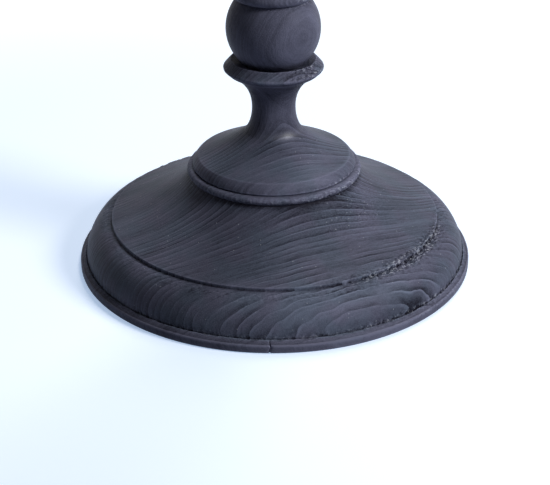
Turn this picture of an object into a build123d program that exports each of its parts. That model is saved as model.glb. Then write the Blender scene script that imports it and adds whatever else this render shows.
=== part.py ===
from build123d import *
from math import cos, radians, sin, sqrt
import os

# Sizes are in millimetres. The stand's axis is Z and the origin is on the table under its centre.

# Foot: a plinth, an ovolo, a step, a hollow slope and a bead, from the table up
foot_radius = 70.0
foot_bevel = 0.5
plinth_height = 3.2
plinth_round = 0.7
ledge_width = 2.0
ledge_rise = 1.2
quirk_width = 0.35
quirk_depth = 0.5
ovolo_width = 9.45
ovolo_height = 12.6
step_height = 1.2
slope_height = 15.85
bead_radius = 29.8
bead_height = 2.8
bead_inset = 0.5
bead_swell = 1.15

# Hollow under the foot
hollow_radius = 46.0
hollow_depth = 9.0
washer_seat_radius = 12.0

# Lower stem: a disc, a waisted neck, a collar and a ball
disc_radius = 28.8
disc_inset = 0.5
disc_side_height = 3.8
disc_lean = 2.2
disc_swell = 0.35
cone_height = 8.8
neck_foot_radius = 10.2
neck_radius = 7.6
neck_foot_height = 8.8
throat_height = 12.6
throat_radius = 15.6
collar_radius = 17.1
collar_flare_height = 1.4
collar_edge_height = 1.0
collar_cone_height = 2.6
collar_ridge_radius = 14.7
collar_quirk_depth = 1.6
ball_radius = 16.15
ball_seat_radius = 10.34
ball_crown_radius = 12.2

# Upper stem: a bead, a vase, a second collar and ball, a second bead and a bell under the dish
lower_ring_height = 4.2
lower_ring_radius = 14.4
lower_ring_top_radius = 11.0
waist_radius = 8.0
waist_height = 5.6
belly_radius = 12.8
belly_height = 17.5
taper_radius = 6.9
taper_height = 46.0
upper_throat_height = 11.4
upper_throat_radius = 11.9
upper_collar_radius = 13.4
upper_collar_flare_height = 0.9
upper_collar_edge_height = 0.8
upper_collar_cone_height = 2.0
upper_collar_ridge_radius = 11.4
upper_collar_quirk_depth = 1.1
upper_ball_radius = 11.8
upper_ball_seat_radius = 7.81
upper_ball_crown_radius = 8.9
upper_ring_height = 3.2
upper_ring_radius = 10.6
upper_ring_top_radius = 8.2
bell_neck_radius = 6.9
bell_neck_height = 6.4
bell_radius = 21.0
bell_height = 13.6
bell_edge_height = 1.2

# Dish
dish_rim_width = 6.2
dish_rim_overhang = 1.5
dish_neck_overhang = 1.4
dish_neck_height = 1.4
dish_slope_height = 4.2
dish_step_width = 0.9
dish_ovolo_width = 6.6
dish_ovolo_height = 4.2
dish_rim_height = 3.2
dish_rim_round = 0.8

# Drip pan
pan_thickness = 0.9
pan_floor_radius = 35.0
pan_corner_radius = 5.0
pan_lean = 32.0
pan_wall_length = 4.6
pan_bead_radius = 1.25
pan_recess_depth = 1.2
pan_recess_gap = 0.8
pan_hole_gap = 0.6

# Pricket and its plate
plate_radius = 17.0
plate_thickness = 2.0
plate_bevel = 0.3
plate_gap = 0.15
shoulder_radius = 5.6
shoulder_height = 1.6
shoulder_bevel = 0.4
root_radius = 3.6
root_height = 9.0
spike_height = 40.0
tip_radius = 0.5
tang_width = 5.4
tang_tip_width = 2.4
tang_length = 31.0
tang_gap = 0.1

# Screws and washer
plate_screw_count = 3
plate_screw_circle = 11.6
plate_screw_radius = 1.5
plate_screw_length = 9.5
plate_screw_head_radius = 3.0
plate_screw_slot_width = 0.8
plate_screw_slot_depth = 0.7
countersink_angle = 90.0
foot_screw_radius = 2.4
foot_screw_length = 37.0
foot_screw_head_radius = 4.7
foot_screw_head_height = 3.0
foot_screw_slot_width = 1.1
foot_screw_slot_depth = 1.3
washer_radius = 9.0
washer_thickness = 1.4
washer_bevel = 0.25

# Joints between the turnings
spigot_radius = 9.0
spigot_length = 15.4
stem_tenon_radius = 6.0
stem_tenon_length = 13.0
dish_tenon_radius = 8.0
tenon_bevel = 0.8
glue_gap = 0.1
end_gap = 0.6
screw_gap = 0.05
screw_hole_gap = 0.3
overrun = 1.0

# Shares that shape the curves: each is how far a control point lies along its stretch, and a
# screw's tip is this many of its radii long
screw_tip_share = 1.5
ovolo_share = 0.48
slope_run_share = 0.73
slope_rise_share = 0.4
hollow_share = 0.35
cone_run_share = 0.6
cone_rise_share = 0.42
neck_foot_share = 0.62
throat_share = 0.68
collar_rim_share = 0.35
ring_side_share = 0.5
cove_share = 0.55
belly_share = 0.5
taper_share = 0.42
bell_run_share = 0.5
bell_rise_share = 0.6
dish_slope_run_share = 0.6
dish_slope_rise_share = 0.2

# Radii that follow from the sizes above
quirk_radius = foot_radius - ledge_width - quirk_width
step_radius = quirk_radius - ovolo_width
platform_radius = bead_radius - bead_inset
disc_arris_radius = disc_radius - disc_lean
pan_recess_radius = pan_floor_radius + pan_corner_radius + pan_recess_gap
dish_radius = pan_recess_radius + dish_rim_width
dish_ovolo_radius = dish_radius - dish_rim_overhang
dish_step_radius = dish_ovolo_radius - dish_ovolo_width
dish_slope_radius = dish_step_radius - dish_step_width
dish_neck_radius = bell_radius + dish_neck_overhang
pan_hole_radius = shoulder_radius + pan_hole_gap
washer_hole_radius = foot_screw_radius + screw_hole_gap

# Heights of the foot
ledge_z = plinth_height + ledge_rise
quirk_z = ledge_z - quirk_depth
ovolo_z = quirk_z + ovolo_height
step_z = ovolo_z + step_height
bead_z = step_z + slope_height
platform_z = bead_z + bead_height
spigot_z = platform_z - spigot_length
socket_z = spigot_z - end_gap

# Heights of the lower stem
disc_z = platform_z + disc_side_height
neck_foot_z = disc_z + cone_height
neck_z = neck_foot_z + neck_foot_height
throat_z = neck_z + throat_height
collar_z = throat_z + collar_flare_height
collar_edge_z = collar_z + collar_edge_height
collar_ridge_z = collar_edge_z + collar_cone_height
ball_seat_z = collar_ridge_z - collar_quirk_depth
ball_z = ball_seat_z + sqrt(ball_radius**2 - ball_seat_radius**2)
ball_top_z = ball_z + sqrt(ball_radius**2 - ball_crown_radius**2)
stem_socket_z = ball_top_z - stem_tenon_length - end_gap

# Heights of the upper stem
lower_ring_z = ball_top_z + lower_ring_height
waist_z = lower_ring_z + waist_height
belly_z = waist_z + belly_height
taper_z = belly_z + taper_height
upper_throat_z = taper_z + upper_throat_height
upper_collar_z = upper_throat_z + upper_collar_flare_height
upper_collar_edge_z = upper_collar_z + upper_collar_edge_height
upper_collar_ridge_z = upper_collar_edge_z + upper_collar_cone_height
upper_ball_seat_z = upper_collar_ridge_z - upper_collar_quirk_depth
upper_ball_z = upper_ball_seat_z + sqrt(upper_ball_radius**2 - upper_ball_seat_radius**2)
upper_ball_top_z = upper_ball_z + sqrt(upper_ball_radius**2 - upper_ball_crown_radius**2)
upper_ring_z = upper_ball_top_z + upper_ring_height
bell_neck_z = upper_ring_z + bell_neck_height
bell_z = bell_neck_z + bell_height
dish_z = bell_z + bell_edge_height

# Heights of the dish and of what stands on it
dish_neck_z = dish_z + dish_neck_height
dish_slope_z = dish_neck_z + dish_slope_height
dish_rim_z = dish_slope_z + dish_ovolo_height
dish_top_z = dish_rim_z + dish_rim_height
recess_z = dish_top_z - pan_recess_depth
pocket_z = recess_z - plate_thickness
shoulder_z = recess_z + shoulder_height
root_z = shoulder_z + root_height
tip_z = root_z + spike_height
tang_z = pocket_z - tang_length

# Heights under the foot
washer_z = hollow_depth - washer_thickness
foot_screw_z = washer_z + foot_screw_length

os.makedirs("parts", exist_ok=True)


# Foot
with BuildPart() as foot:
    with BuildSketch(Plane.XZ):
        with BuildLine():
            Polyline(
                (washer_hole_radius, hollow_depth),
                (washer_seat_radius, hollow_depth),
            )
            Bezier(
                (washer_seat_radius, hollow_depth),
                (hollow_radius - hollow_share * (hollow_radius - washer_seat_radius), hollow_depth),
                (hollow_radius, 0),
            )
            Polyline(
                (hollow_radius, 0),
                (foot_radius - foot_bevel, 0),
                (foot_radius, foot_bevel),
                (foot_radius, plinth_height - plinth_round),
            )
            TangentArc(
                (foot_radius, plinth_height - plinth_round),
                (foot_radius - plinth_round, plinth_height),
                tangent=(0, 1),
            )
            Polyline(
                (foot_radius - plinth_round, plinth_height),
                (foot_radius - ledge_width, ledge_z),
                (quirk_radius, quirk_z),
            )
            Bezier(
                (quirk_radius, quirk_z),
                (quirk_radius, quirk_z + ovolo_share * ovolo_height),
                (step_radius + ovolo_share * ovolo_width, ovolo_z),
                (step_radius, ovolo_z),
            )
            Line((step_radius, ovolo_z), (step_radius, step_z))
            Bezier(
                (step_radius, step_z),
                (
                    step_radius - slope_run_share * (step_radius - bead_radius),
                    step_z + slope_rise_share * slope_height,
                ),
                (bead_radius, bead_z),
            )
            ThreePointArc(
                (bead_radius, bead_z),
                ((bead_radius + platform_radius) / 2 + bead_swell, bead_z + bead_height / 2),
                (platform_radius, platform_z),
            )
            Polyline(
                (platform_radius, platform_z),
                (spigot_radius + glue_gap, platform_z),
                (spigot_radius + glue_gap, socket_z),
                (washer_hole_radius, socket_z),
                (washer_hole_radius, hollow_depth),
            )
        make_face()
    revolve(axis=Axis.Z)
foot.part.label = "foot"
export_step(foot.part, "parts/foot.step")


# Lower stem, with a spigot below for the foot and a socket above for the upper stem
with BuildPart() as lower_stem:
    with BuildSketch(Plane.XZ):
        with BuildLine():
            Polyline(
                (0, spigot_z),
                (spigot_radius - tenon_bevel, spigot_z),
                (spigot_radius, spigot_z + tenon_bevel),
                (spigot_radius, platform_z),
                (disc_radius - disc_inset, platform_z),
                (disc_radius, platform_z + disc_inset),
            )
            ThreePointArc(
                (disc_radius, platform_z + disc_inset),
                (disc_radius - disc_lean / 2 + disc_swell, (platform_z + disc_inset + disc_z) / 2),
                (disc_arris_radius, disc_z),
            )
            Bezier(
                (disc_arris_radius, disc_z),
                (
                    disc_arris_radius - cone_run_share * (disc_arris_radius - neck_foot_radius),
                    disc_z + cone_rise_share * cone_height,
                ),
                (neck_foot_radius, neck_foot_z),
            )
            Bezier(
                (neck_foot_radius, neck_foot_z),
                (neck_radius, neck_z - neck_foot_share * neck_foot_height),
                (neck_radius, neck_z),
            )
            Bezier(
                (neck_radius, neck_z),
                (neck_radius, neck_z + throat_share * throat_height),
                (throat_radius, throat_z),
            )
            Line((throat_radius, throat_z), (collar_radius, collar_z))
            Bezier(
                (collar_radius, collar_z),
                (collar_radius + collar_rim_share * collar_edge_height, collar_z + collar_edge_height / 2),
                (collar_radius, collar_edge_z),
            )
            Polyline(
                (collar_radius, collar_edge_z),
                (collar_ridge_radius, collar_ridge_z),
                (ball_seat_radius, ball_seat_z),
            )
            ThreePointArc(
                (ball_seat_radius, ball_seat_z),
                (ball_radius, ball_z),
                (ball_crown_radius, ball_top_z),
            )
            Polyline(
                (ball_crown_radius, ball_top_z),
                (stem_tenon_radius + glue_gap, ball_top_z),
                (stem_tenon_radius + glue_gap, stem_socket_z),
                (0, stem_socket_z),
                (0, spigot_z),
            )
        make_face()
    revolve(axis=Axis.Z)
    with Locations(Plane.XY.offset(spigot_z)):
        Cylinder(
            foot_screw_radius + screw_gap,
            foot_screw_z - spigot_z + end_gap,
            align=(Align.CENTER, Align.CENTER, Align.MIN),
            mode=Mode.SUBTRACT,
        )
lower_stem.part.label = "lower_stem"
export_step(lower_stem.part, "parts/lower_stem.step")


# Upper stem, with a tenon at each end and a tapered square hole for the pricket's tang
with BuildPart() as upper_stem:
    with BuildSketch(Plane.XZ):
        with BuildLine():
            Polyline(
                (0, ball_top_z - stem_tenon_length),
                (stem_tenon_radius - tenon_bevel, ball_top_z - stem_tenon_length),
                (stem_tenon_radius, ball_top_z - stem_tenon_length + tenon_bevel),
                (stem_tenon_radius, ball_top_z),
                (ball_crown_radius, ball_top_z),
            )
            ThreePointArc(
                (ball_crown_radius, ball_top_z),
                (lower_ring_radius, ball_top_z + ring_side_share * lower_ring_height),
                (lower_ring_top_radius, lower_ring_z),
            )
            Bezier(
                (lower_ring_top_radius, lower_ring_z),
                (waist_radius, lower_ring_z),
                (waist_radius, waist_z - cove_share * waist_height),
                (waist_radius, waist_z),
            )
            Bezier(
                (waist_radius, waist_z),
                (waist_radius, waist_z + belly_share * belly_height),
                (belly_radius, belly_z - belly_share * belly_height),
                (belly_radius, belly_z),
            )
            Bezier(
                (belly_radius, belly_z),
                (belly_radius, belly_z + taper_share * taper_height),
                (taper_radius, taper_z - taper_share * taper_height),
                (taper_radius, taper_z),
            )
            Bezier(
                (taper_radius, taper_z),
                (taper_radius, taper_z + throat_share * upper_throat_height),
                (upper_throat_radius, upper_throat_z),
            )
            Line((upper_throat_radius, upper_throat_z), (upper_collar_radius, upper_collar_z))
            Bezier(
                (upper_collar_radius, upper_collar_z),
                (
                    upper_collar_radius + collar_rim_share * upper_collar_edge_height,
                    upper_collar_z + upper_collar_edge_height / 2,
                ),
                (upper_collar_radius, upper_collar_edge_z),
            )
            Polyline(
                (upper_collar_radius, upper_collar_edge_z),
                (upper_collar_ridge_radius, upper_collar_ridge_z),
                (upper_ball_seat_radius, upper_ball_seat_z),
            )
            ThreePointArc(
                (upper_ball_seat_radius, upper_ball_seat_z),
                (upper_ball_radius, upper_ball_z),
                (upper_ball_crown_radius, upper_ball_top_z),
            )
            ThreePointArc(
                (upper_ball_crown_radius, upper_ball_top_z),
                (upper_ring_radius, upper_ball_top_z + ring_side_share * upper_ring_height),
                (upper_ring_top_radius, upper_ring_z),
            )
            Bezier(
                (upper_ring_top_radius, upper_ring_z),
                (bell_neck_radius, upper_ring_z),
                (bell_neck_radius, bell_neck_z - cove_share * bell_neck_height),
                (bell_neck_radius, bell_neck_z),
            )
            Bezier(
                (bell_neck_radius, bell_neck_z),
                (bell_neck_radius, bell_neck_z + bell_rise_share * bell_height),
                (bell_radius - bell_run_share * (bell_radius - bell_neck_radius), bell_z),
                (bell_radius, bell_z),
            )
            Polyline(
                (bell_radius, bell_z),
                (bell_radius, dish_z),
                (dish_tenon_radius, dish_z),
                (dish_tenon_radius, pocket_z - tenon_bevel),
                (dish_tenon_radius - tenon_bevel, pocket_z),
                (0, pocket_z),
                (0, ball_top_z - stem_tenon_length),
            )
        make_face()
    revolve(axis=Axis.Z)
    with BuildSketch(Plane.XY.offset(pocket_z)):
        Rectangle(tang_width + 2 * tang_gap, tang_width + 2 * tang_gap)
    with BuildSketch(Plane.XY.offset(tang_z - end_gap)):
        Rectangle(tang_tip_width + 2 * tang_gap, tang_tip_width + 2 * tang_gap)
    loft(mode=Mode.SUBTRACT)
upper_stem.part.label = "upper_stem"
export_step(upper_stem.part, "parts/upper_stem.step")


# Dish, with a recess that centres the pan and a pocket for the pricket's plate
with BuildPart() as dish:
    with BuildSketch(Plane.XZ):
        with BuildLine():
            Polyline(
                (dish_tenon_radius + glue_gap, dish_z),
                (dish_neck_radius, dish_z),
                (dish_neck_radius, dish_neck_z),
            )
            Bezier(
                (dish_neck_radius, dish_neck_z),
                (
                    dish_neck_radius + dish_slope_run_share * (dish_slope_radius - dish_neck_radius),
                    dish_neck_z + dish_slope_rise_share * dish_slope_height,
                ),
                (dish_slope_radius, dish_slope_z),
            )
            Line((dish_slope_radius, dish_slope_z), (dish_step_radius, dish_slope_z))
            Bezier(
                (dish_step_radius, dish_slope_z),
                (dish_step_radius + ovolo_share * dish_ovolo_width, dish_slope_z),
                (dish_ovolo_radius, dish_rim_z - ovolo_share * dish_ovolo_height),
                (dish_ovolo_radius, dish_rim_z),
            )
            Polyline(
                (dish_ovolo_radius, dish_rim_z),
                (dish_radius, dish_rim_z),
                (dish_radius, dish_top_z - dish_rim_round),
            )
            TangentArc(
                (dish_radius, dish_top_z - dish_rim_round),
                (dish_radius - dish_rim_round, dish_top_z),
                tangent=(0, 1),
            )
            Polyline(
                (dish_radius - dish_rim_round, dish_top_z),
                (pan_recess_radius, dish_top_z),
                (pan_recess_radius, recess_z),
                (plate_radius + plate_gap, recess_z),
                (plate_radius + plate_gap, pocket_z),
                (dish_tenon_radius + glue_gap, pocket_z),
                (dish_tenon_radius + glue_gap, dish_z),
            )
        make_face()
    revolve(axis=Axis.Z)
    with Locations(Plane.XY.offset(pocket_z)):
        with PolarLocations(plate_screw_circle, plate_screw_count):
            Hole(plate_screw_radius + screw_gap, plate_screw_length - plate_thickness + end_gap)
dish.part.label = "dish"
export_step(dish.part, "parts/dish.step")


# Washer in the hollow under the foot
with BuildPart() as foot_washer:
    with Locations(Plane.XY.offset(washer_z)):
        Cylinder(washer_radius, washer_thickness, align=(Align.CENTER, Align.CENTER, Align.MIN))
    with Locations(Plane.XY.offset(hollow_depth)):
        Hole(washer_hole_radius)
    chamfer(foot_washer.edges().filter_by(GeomType.CIRCLE), length=washer_bevel)
foot_washer.part.label = "foot_washer"
export_step(foot_washer.part, "parts/foot_washer.step")


# Slotted round-head screw through the foot into the lower stem
with BuildPart() as foot_screw:
    with BuildSketch(Plane.XZ):
        with BuildLine():
            TangentArc(
                (0, washer_z - foot_screw_head_height),
                (foot_screw_head_radius, washer_z),
                tangent=(1, 0),
            )
            Polyline(
                (foot_screw_head_radius, washer_z),
                (foot_screw_radius, washer_z),
                (foot_screw_radius, foot_screw_z - screw_tip_share * foot_screw_radius),
                (0, foot_screw_z),
                (0, washer_z - foot_screw_head_height),
            )
        make_face()
    revolve(axis=Axis.Z)
    with Locations(Plane.XY.offset(washer_z - foot_screw_head_height)):
        Box(
            2 * foot_screw_head_radius + overrun,
            foot_screw_slot_width,
            2 * foot_screw_slot_depth,
            mode=Mode.SUBTRACT,
        )
foot_screw.part.label = "foot_screw"
export_step(foot_screw.part, "parts/foot_screw.step")


# Plate that the pricket stands on
with BuildPart() as pricket_plate:
    with Locations(Plane.XY.offset(pocket_z)):
        Cylinder(plate_radius, plate_thickness, align=(Align.CENTER, Align.CENTER, Align.MIN))
    chamfer(pricket_plate.edges().filter_by(GeomType.CIRCLE), length=plate_bevel)
    with Locations(Plane.XY.offset(recess_z)):
        Hole(root_radius + screw_gap)
        with PolarLocations(plate_screw_circle, plate_screw_count):
            CounterSinkHole(
                plate_screw_radius + screw_hole_gap,
                plate_screw_head_radius + screw_gap,
                counter_sink_angle=countersink_angle,
            )
pricket_plate.part.label = "pricket_plate"
export_step(pricket_plate.part, "parts/pricket_plate.step")


# Countersunk wood screws that hold the plate, one shape repeated
with BuildPart() as plate_screw:
    with BuildSketch(Plane.XZ):
        with BuildLine():
            Polyline(
                (0, 0),
                (plate_screw_head_radius, 0),
                (plate_screw_radius, plate_screw_radius - plate_screw_head_radius),
                (plate_screw_radius, screw_tip_share * plate_screw_radius - plate_screw_length),
                (0, -plate_screw_length),
                (0, 0),
            )
        make_face()
    revolve(axis=Axis.Z)
    Box(
        2 * plate_screw_head_radius + overrun,
        plate_screw_slot_width,
        2 * plate_screw_slot_depth,
        mode=Mode.SUBTRACT,
    )

with BuildPart() as plate_screws:
    with Locations(Plane.XY.offset(recess_z)):
        with PolarLocations(plate_screw_circle, plate_screw_count):
            add(plate_screw.part)
plate_screws.part.label = "plate_screws"
export_step(plate_screws.part, "parts/plate_screws.step")


# Pricket: a spike on a round root, a shoulder on the plate and a square tang below
with BuildPart() as pricket:
    with BuildSketch(Plane.XZ):
        with BuildLine():
            Polyline(
                (0, pocket_z),
                (root_radius, pocket_z),
                (root_radius, recess_z),
                (shoulder_radius, recess_z),
                (shoulder_radius, shoulder_z - shoulder_bevel),
                (shoulder_radius - shoulder_bevel, shoulder_z),
                (root_radius, shoulder_z),
                (root_radius, root_z),
                (tip_radius, tip_z - tip_radius),
            )
            TangentArc(
                (tip_radius, tip_z - tip_radius),
                (0, tip_z),
                tangent=(0, 1),
            )
            Line((0, tip_z), (0, pocket_z))
        make_face()
    revolve(axis=Axis.Z)
    with BuildSketch(Plane.XY.offset(pocket_z)):
        Rectangle(tang_width, tang_width)
    with BuildSketch(Plane.XY.offset(tang_z)):
        Rectangle(tang_tip_width, tang_tip_width)
    loft()
pricket.part.label = "pricket"
export_step(pricket.part, "parts/pricket.step")


# Drip pan of sheet iron with a leaning wall and a beaded lip
pan_floor_z = recess_z + pan_thickness
pan_corner_z = pan_floor_z + pan_corner_radius
pan_outer_radius = pan_corner_radius + pan_thickness
lean_across = sin(radians(pan_lean))
lean_up = cos(radians(pan_lean))
inner_wall = (pan_floor_radius + pan_corner_radius * lean_up, pan_corner_z - pan_corner_radius * lean_across)
outer_wall = (pan_floor_radius + pan_outer_radius * lean_up, pan_corner_z - pan_outer_radius * lean_across)
inner_lip = (inner_wall[0] + pan_wall_length * lean_across, inner_wall[1] + pan_wall_length * lean_up)
outer_lip = (outer_wall[0] + pan_wall_length * lean_across, outer_wall[1] + pan_wall_length * lean_up)
with BuildPart() as drip_pan:
    with BuildSketch(Plane.XZ):
        with BuildLine():
            Line((pan_hole_radius, pan_floor_z), (pan_floor_radius, pan_floor_z))
            CenterArc((pan_floor_radius, pan_corner_z), pan_corner_radius, -90, 90 - pan_lean)
            Polyline(inner_wall, inner_lip, outer_lip, outer_wall)
            CenterArc((pan_floor_radius, pan_corner_z), pan_outer_radius, -90, 90 - pan_lean)
            Polyline(
                (pan_floor_radius, recess_z),
                (pan_hole_radius, recess_z),
                (pan_hole_radius, pan_floor_z),
            )
        make_face()
        with Locations(((inner_lip[0] + outer_lip[0]) / 2, (inner_lip[1] + outer_lip[1]) / 2)):
            Circle(pan_bead_radius)
    revolve(axis=Axis.Z)
drip_pan.part.label = "drip_pan"
export_step(drip_pan.part, "parts/drip_pan.step")
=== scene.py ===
from math import comb, cos, pi, radians, sin, sqrt

import bpy
import numpy as np
from mathutils import Matrix, Vector


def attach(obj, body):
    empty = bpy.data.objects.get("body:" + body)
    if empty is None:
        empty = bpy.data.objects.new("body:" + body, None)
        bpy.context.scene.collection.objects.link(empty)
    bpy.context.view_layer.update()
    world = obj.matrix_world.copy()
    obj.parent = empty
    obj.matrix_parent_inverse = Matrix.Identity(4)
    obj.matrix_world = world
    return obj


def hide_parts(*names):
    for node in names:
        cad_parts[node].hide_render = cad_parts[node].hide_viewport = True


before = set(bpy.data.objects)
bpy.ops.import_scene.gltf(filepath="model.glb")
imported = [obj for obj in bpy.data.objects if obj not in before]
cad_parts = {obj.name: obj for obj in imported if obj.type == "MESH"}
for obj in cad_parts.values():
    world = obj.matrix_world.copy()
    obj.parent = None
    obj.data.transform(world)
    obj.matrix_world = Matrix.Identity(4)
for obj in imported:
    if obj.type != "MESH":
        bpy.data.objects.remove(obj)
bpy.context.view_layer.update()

# Sizes are in millimetres, as the solids have them, and become metres when a mesh is made
MM = 0.001

# Foot: a plinth, an ovolo, a step, a hollow slope and a bead, from the table up
foot_radius = 70.0
foot_bevel = 0.5
plinth_height = 3.2
plinth_round = 0.7
ledge_width = 2.0
ledge_rise = 1.2
quirk_width = 0.35
quirk_depth = 0.5
ovolo_width = 9.45
ovolo_height = 12.6
step_height = 1.2
slope_height = 15.85
bead_radius = 29.8
bead_height = 2.8
bead_inset = 0.5
bead_swell = 1.15
hollow_radius = 46.0
hollow_depth = 9.0
washer_seat_radius = 12.0
screw_hole_radius = 2.7

# Lower stem: a disc, a waisted neck, a collar and a ball
disc_radius = 28.8
disc_inset = 0.5
disc_side_height = 3.8
disc_lean = 2.2
disc_swell = 0.35
cone_height = 8.8
neck_foot_radius = 10.2
neck_radius = 7.6
neck_foot_height = 8.8
throat_height = 12.6
throat_radius = 15.6
collar_radius = 17.1
collar_flare_height = 1.4
collar_edge_height = 1.0
collar_cone_height = 2.6
collar_ridge_radius = 14.7
collar_quirk_depth = 1.6
ball_radius = 16.15
ball_seat_radius = 10.34
ball_crown_radius = 12.2
screw_pilot_radius = 2.45
screw_pilot_z = 45.2

# Upper stem: a bead, a vase, a second collar and ball, a second bead and a bell under the dish
lower_ring_height = 4.2
lower_ring_radius = 14.4
lower_ring_top_radius = 11.0
waist_radius = 8.0
waist_height = 5.6
belly_radius = 12.8
belly_height = 17.5
taper_radius = 6.9
taper_height = 46.0
upper_throat_height = 11.4
upper_throat_radius = 11.9
upper_collar_radius = 13.4
upper_collar_flare_height = 0.9
upper_collar_edge_height = 0.8
upper_collar_cone_height = 2.0
upper_collar_ridge_radius = 11.4
upper_collar_quirk_depth = 1.1
upper_ball_radius = 11.8
upper_ball_seat_radius = 7.81
upper_ball_crown_radius = 8.9
upper_ring_height = 3.2
upper_ring_radius = 10.6
upper_ring_top_radius = 8.2
bell_neck_radius = 6.9
bell_neck_height = 6.4
bell_radius = 21.0
bell_height = 13.6
bell_edge_height = 1.2

# Dish
dish_radius = 47.0
dish_rim_overhang = 1.5
dish_neck_radius = 22.4
dish_neck_height = 1.4
dish_slope_height = 4.2
dish_step_width = 0.9
dish_ovolo_width = 6.6
dish_ovolo_height = 4.2
dish_rim_height = 3.2
dish_rim_round = 0.8
pan_recess_radius = 40.8
pan_recess_depth = 1.2
plate_pocket_radius = 17.15
plate_thickness = 2.0

# Drip pan
pan_thickness = 0.9
pan_hole_radius = 6.2
pan_floor_radius = 35.0
pan_corner_radius = 5.0
pan_lean = radians(32.0)
pan_wall_length = 4.6
pan_bead_radius = 1.25

# Pricket
shoulder_radius = 5.6
shoulder_height = 1.6
shoulder_bevel = 0.4
root_radius = 3.6
root_height = 9.0
spike_height = 40.0
tip_radius = 0.5
tang_width = 5.4
tang_tip_width = 2.4
tang_length = 31.0
tang_gap = 0.1

# Joints between the turnings
spigot_radius = 9.0
spigot_length = 15.4
stem_tenon_radius = 6.0
stem_tenon_length = 13.0
dish_tenon_radius = 8.0
tenon_bevel = 0.8
glue_gap = 0.1
end_gap = 0.6

# Shares that shape the curves: each is how far a control point lies along its stretch
ovolo_share = 0.48
slope_run_share = 0.73
slope_rise_share = 0.4
hollow_share = 0.35
cone_run_share = 0.6
cone_rise_share = 0.42
neck_foot_share = 0.62
throat_share = 0.68
collar_rim_share = 0.35
cove_share = 0.55
belly_share = 0.5
taper_share = 0.42
bell_run_share = 0.5
bell_rise_share = 0.6
dish_slope_run_share = 0.6
dish_slope_rise_share = 0.2

# Radii and heights that follow, from the table up
quirk_radius = foot_radius - ledge_width - quirk_width
step_radius = quirk_radius - ovolo_width
platform_radius = bead_radius - bead_inset
disc_arris_radius = disc_radius - disc_lean
dish_ovolo_radius = dish_radius - dish_rim_overhang
dish_step_radius = dish_ovolo_radius - dish_ovolo_width
dish_slope_radius = dish_step_radius - dish_step_width

ledge_z = plinth_height + ledge_rise
quirk_z = ledge_z - quirk_depth
ovolo_z = quirk_z + ovolo_height
step_z = ovolo_z + step_height
bead_z = step_z + slope_height
platform_z = bead_z + bead_height
spigot_z = platform_z - spigot_length
foot_socket_z = spigot_z - end_gap

disc_z = platform_z + disc_side_height
neck_foot_z = disc_z + cone_height
neck_z = neck_foot_z + neck_foot_height
throat_z = neck_z + throat_height
collar_z = throat_z + collar_flare_height
collar_edge_z = collar_z + collar_edge_height
collar_ridge_z = collar_edge_z + collar_cone_height
ball_seat_z = collar_ridge_z - collar_quirk_depth
ball_z = ball_seat_z + sqrt(ball_radius**2 - ball_seat_radius**2)
ball_top_z = ball_z + sqrt(ball_radius**2 - ball_crown_radius**2)
stem_tenon_z = ball_top_z - stem_tenon_length
stem_socket_z = stem_tenon_z - end_gap

lower_ring_z = ball_top_z + lower_ring_height
waist_z = lower_ring_z + waist_height
belly_z = waist_z + belly_height
taper_z = belly_z + taper_height
upper_throat_z = taper_z + upper_throat_height
upper_collar_z = upper_throat_z + upper_collar_flare_height
upper_collar_edge_z = upper_collar_z + upper_collar_edge_height
upper_collar_ridge_z = upper_collar_edge_z + upper_collar_cone_height
upper_ball_seat_z = upper_collar_ridge_z - upper_collar_quirk_depth
upper_ball_z = upper_ball_seat_z + sqrt(upper_ball_radius**2 - upper_ball_seat_radius**2)
upper_ball_top_z = upper_ball_z + sqrt(upper_ball_radius**2 - upper_ball_crown_radius**2)
upper_ring_z = upper_ball_top_z + upper_ring_height
bell_neck_z = upper_ring_z + bell_neck_height
bell_z = bell_neck_z + bell_height
dish_z = bell_z + bell_edge_height

dish_neck_z = dish_z + dish_neck_height
dish_slope_z = dish_neck_z + dish_slope_height
dish_rim_z = dish_slope_z + dish_ovolo_height
dish_top_z = dish_rim_z + dish_rim_height
recess_z = dish_top_z - pan_recess_depth
pocket_z = recess_z - plate_thickness
shoulder_z = recess_z + shoulder_height
root_z = shoulder_z + root_height
tip_z = root_z + spike_height
tang_z = pocket_z - tang_length

# How finely a turned surface is made: the points on a curve and on an arc, the step of the walk along
# its outline, the most that two rows lie apart and turn where the surface shows and where it is hidden
CURVE_POINTS = 48
ARC_POINTS = 64
WALK = 0.04
SHOWN = 0.85
HIDDEN = 5.0
SHOWN_TURN = radians(11)
HIDDEN_TURN = radians(35)

# The bend at large is a running mean over this width, of bends no tighter than this many per millimetre
SWEEP_WIDTH = 1.6
SWEEP_MOST = 0.15

# Sides of the foot and the lower stem, seen from above: the way their growth layers face, where the
# tool tore the fibres, how much it did so on the opposite side, and where the plinth is checked
LAYER_SIDE = radians(-65.5)
TORN_SIDE = radians(-36)
OPPOSITE_SHARE = 0.35
CHECK_SIDE = radians(-91.4)

# Noise in the wood, each (size, seed), and the whole numbers that mix up a place in its lattice
COARSE_PITS = (2.1, 3)
FINE_PITS = (1.0, 5)
UNEVENNESS = (22.0, 11)
PLACE_FACTORS = np.array([73856093, 19349663, 83492791])
SEED_FACTOR = 2654435
MIX_FACTOR = 1274126177

# Wear and painted shade: depth of the unevenness, radii that an arris is judged by for wear and a hollow for
# its painted shade, and the plinth's check
UNEVEN_DEPTH = 0.05
WOOD_ARRIS = 0.9
PAN_ARRIS = 0.7
PRICKET_ARRIS = 0.5
HOLLOW_SHADE_RADIUS = 9.0
CHECK_DEPTH = 0.5
CHECK_WIDTH = 0.25
CHECK_WAVER = 0.3

# How smoothly the plinth and bead were rubbed, how much of its grain the collar keeps, and how near it
RUBBED_PLINTH = 0.9
RUBBED_BEAD = 0.5
COLLAR_KEEPS = 0.8
COLLAR_REACH = 3.0


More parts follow.
